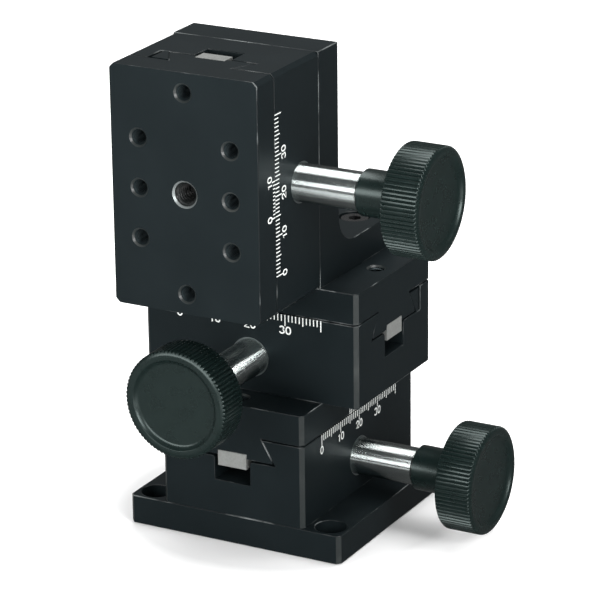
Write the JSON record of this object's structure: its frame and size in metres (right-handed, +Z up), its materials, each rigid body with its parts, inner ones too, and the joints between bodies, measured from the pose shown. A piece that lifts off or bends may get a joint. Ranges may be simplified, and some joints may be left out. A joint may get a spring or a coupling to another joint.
{
  "type": "xyz translation stage",
  "caption": "Compact manual XYZ stage: stacked dovetail slides on a square base plate, an upright slide on an L bracket, each moved by rack, pinion and knurled knob.",
  "frame": {"origin": "centre of the base plate's underside, where the stage stands", "axes": "+Z up along the upright slide's travel, +X along the middle slide's travel and towards the lower and upright knobs, +Y along the lower slide's travel, away from the upright table's face and the middle knob"},
  "size_m": [0.0874, 0.0874, 0.1275],
  "materials": {
    "black_anodised": "black anodised, fine satin, lighter on its broken edges",
    "knob_black": "black anodised, turned and straight knurled, half gloss",
    "plated_sleeve": "bright nickel plate, polished round",
    "bright_steel": "ground and milled steel",
    "dark_steel": "black oxide screws, half gloss",
    "bronze_bush": "plain turned bronze"
  },
  "bodies": {
    "ground": {"base_plate": "black_anodised", "lower_base": "black_anodised", "lower_gib": "black_anodised", "lower_gib_screws": "dark_steel", "lower_stop_pin": "bright_steel", "lower_base_screws": "dark_steel", "lower_sleeve": "plated_sleeve", "lower_bush": "bronze_bush"},
    "lower_carriage": {"lower_table": "black_anodised", "lower_rack": "bright_steel", "lower_rack_screws": "dark_steel", "middle_base": "black_anodised", "middle_gib": "black_anodised", "middle_gib_screws": "dark_steel", "middle_stop_pin": "bright_steel", "middle_base_screws": "dark_steel", "middle_sleeve": "plated_sleeve", "middle_bush": "bronze_bush"},
    "middle_carriage": {"middle_table": "black_anodised", "middle_rack": "bright_steel", "middle_rack_screws": "dark_steel", "bracket": "black_anodised", "bracket_screws": "dark_steel", "vertical_base": "black_anodised", "vertical_gib": "black_anodised", "vertical_gib_screws": "dark_steel", "vertical_stop_pin": "bright_steel", "vertical_base_screws": "dark_steel", "vertical_sleeve": "plated_sleeve", "vertical_bush": "bronze_bush"},
    "vertical_carriage": {"vertical_table": "black_anodised", "vertical_rack": "bright_steel", "vertical_rack_screws": "dark_steel"},
    "lower_handwheel": {"lower_knob": "knob_black", "lower_knob_screw": "dark_steel", "lower_shaft": "bright_steel", "lower_pinion": "bright_steel", "lower_pinion_pin": "dark_steel"},
    "middle_handwheel": {"middle_knob": "knob_black", "middle_knob_screw": "dark_steel", "middle_shaft": "bright_steel", "middle_pinion": "bright_steel", "middle_pinion_pin": "dark_steel"},
    "vertical_handwheel": {"vertical_knob": "knob_black", "vertical_knob_screw": "dark_steel", "vertical_shaft": "bright_steel", "vertical_pinion": "bright_steel", "vertical_pinion_pin": "dark_steel"}
  },
  "joints": [
    {"name": "lower_slide", "type": "slide", "parent": "ground", "child": "lower_carriage", "axis": [0, 1, 0], "range_m": [-0.015, 0.015]},
    {"name": "middle_slide", "type": "slide", "parent": "lower_carriage", "child": "middle_carriage", "axis": [1, 0, 0], "range_m": [-0.015, 0.015]},
    {"name": "vertical_slide", "type": "slide", "parent": "middle_carriage", "child": "vertical_carriage", "axis": [0, 0, 1], "range_m": [-0.007, 0.015]},
    {"name": "lower_knob_turn", "type": "hinge", "parent": "ground", "child": "lower_handwheel", "pos_m": [0, 0, 0.0165], "axis": [1, 0, 0], "range_deg": [-190.99, 190.99]},
    {"name": "middle_knob_turn", "type": "hinge", "parent": "lower_carriage", "child": "middle_handwheel", "pos_m": [0, 0, 0.0465], "axis": [0, -1, 0], "range_deg": [-190.99, 190.99]},
    {"name": "vertical_knob_turn", "type": "hinge", "parent": "middle_carriage", "child": "vertical_handwheel", "pos_m": [0, -0.029, 0.0975], "axis": [1, 0, 0], "range_deg": [-190.99, 89.13]}
  ],
  "couplings": [
    {"joint": "lower_knob_turn", "follows": "lower_slide", "rad_per_m": -222.22},
    {"joint": "middle_knob_turn", "follows": "middle_slide", "rad_per_m": -222.22},
    {"joint": "vertical_knob_turn", "follows": "vertical_slide", "rad_per_m": -222.22}
  ]
}
